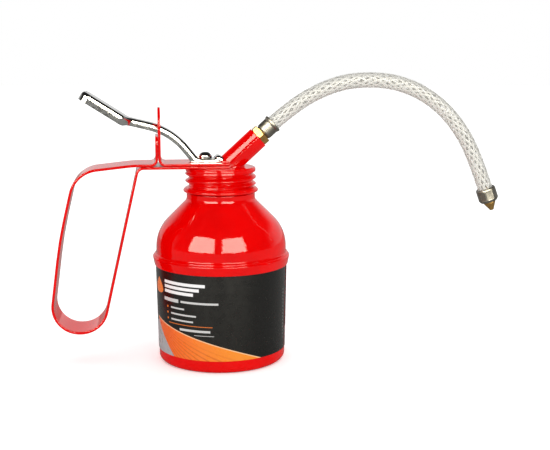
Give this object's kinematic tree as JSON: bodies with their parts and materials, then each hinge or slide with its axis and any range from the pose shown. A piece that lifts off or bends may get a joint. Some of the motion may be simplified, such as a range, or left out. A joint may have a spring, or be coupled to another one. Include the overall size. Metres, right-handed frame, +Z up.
{
  "type": "oil can",
  "caption": "Small thumb-lever oil can: round steel reservoir with a screw-on pump head, strap loop handle and a flexible clear hose spout with a nozzle.",
  "frame": {"origin": "centre of the flat underside of the reservoir", "axes": "+Z up along the reservoir axis, +X towards the spout, the handle towards -X"},
  "size_m": [0.2248, 0.068, 0.1424],
  "materials": {
    "red_enamel": "gloss",
    "print_film": "gloss",
    "bright_chrome": "polished",
    "plated_steel": "satin",
    "spring_steel": "satin",
    "brass": "satin",
    "clear_hose": "gloss",
    "seal_rubber": "matte",
    "seal_leather": "matte"
  },
  "bodies": {
    "reservoir": {"reservoir_cup": "red_enamel", "reservoir_dome": "red_enamel", "label": "print_film"},
    "cap_seal": {"cap_gasket": "seal_rubber"},
    "pump_head": {"screw_cap": "red_enamel", "handle_strap": "red_enamel", "lever_bracket": "red_enamel", "pump_barrel": "plated_steel", "barrel_head": "brass", "rod_packing": "seal_rubber", "gland_bush": "brass", "return_spring": "spring_steel", "foot_valve_body": "brass", "inlet_ball_pin": "plated_steel", "suction_tube": "plated_steel", "outlet_valve_body": "brass", "outlet_spring": "spring_steel", "transfer_tube": "brass", "spout_tube": "red_enamel", "hose_adapter": "brass", "hose_ferrule": "plated_steel", "hose": "clear_hose", "end_ferrule": "plated_steel", "nozzle_tip": "brass"},
    "lever": {"lever": "bright_chrome"},
    "piston": {"piston_rod": "plated_steel", "rod_head": "bright_chrome", "piston_body": "brass", "piston_seal": "seal_leather"},
    "inlet_ball": {"inlet_ball": "plated_steel"},
    "piston_ball": {"piston_ball": "plated_steel"},
    "outlet_ball": {"outlet_ball": "plated_steel"}
  },
  "joints": [
    {"name": "cap_lift", "type": "slide", "parent": "reservoir", "child": "cap_seal", "axis": [0, 0, 1], "range_m": [0, 0.0105]},
    {"name": "cap_turn", "type": "hinge", "parent": "cap_seal", "child": "pump_head", "pos_m": [0, 0, 0.0959], "axis": [0, 0, 1], "range_deg": [0, 1080]},
    {"name": "lever_swing", "type": "hinge", "parent": "pump_head", "child": "lever", "pos_m": [-0.02985, 0, 0.1136], "axis": [0, -1, 0], "range_deg": [0, 24]},
    {"name": "piston_lift", "type": "slide", "parent": "pump_head", "child": "piston", "axis": [0, 0, 1], "range_m": [0, 0.01017], "stiffness_N_per_m": 400, "springref_m": -0.008, "deforming": ["return_spring"]},
    {"name": "inlet_ball_lift", "type": "slide", "parent": "pump_head", "child": "inlet_ball", "axis": [0, 0, 1], "range_m": [0, 0.0012]},
    {"name": "piston_ball_lift", "type": "slide", "parent": "piston", "child": "piston_ball", "axis": [0, 0, 1], "range_m": [0, 0.0012]},
    {"name": "outlet_ball_lift", "type": "slide", "parent": "pump_head", "child": "outlet_ball", "axis": [0, 0, 1], "range_m": [0, 0.0012], "stiffness_N_per_m": 20, "springref_m": -0.002, "deforming": ["outlet_spring"]}
  ],
  "couplings": [
    {"joint": "cap_turn", "follows": "cap_lift", "rad_per_m": 1795.2},
    {"joint": "lever_swing", "follows": "piston_lift", "rad_per_m": 41.152}
  ]
}
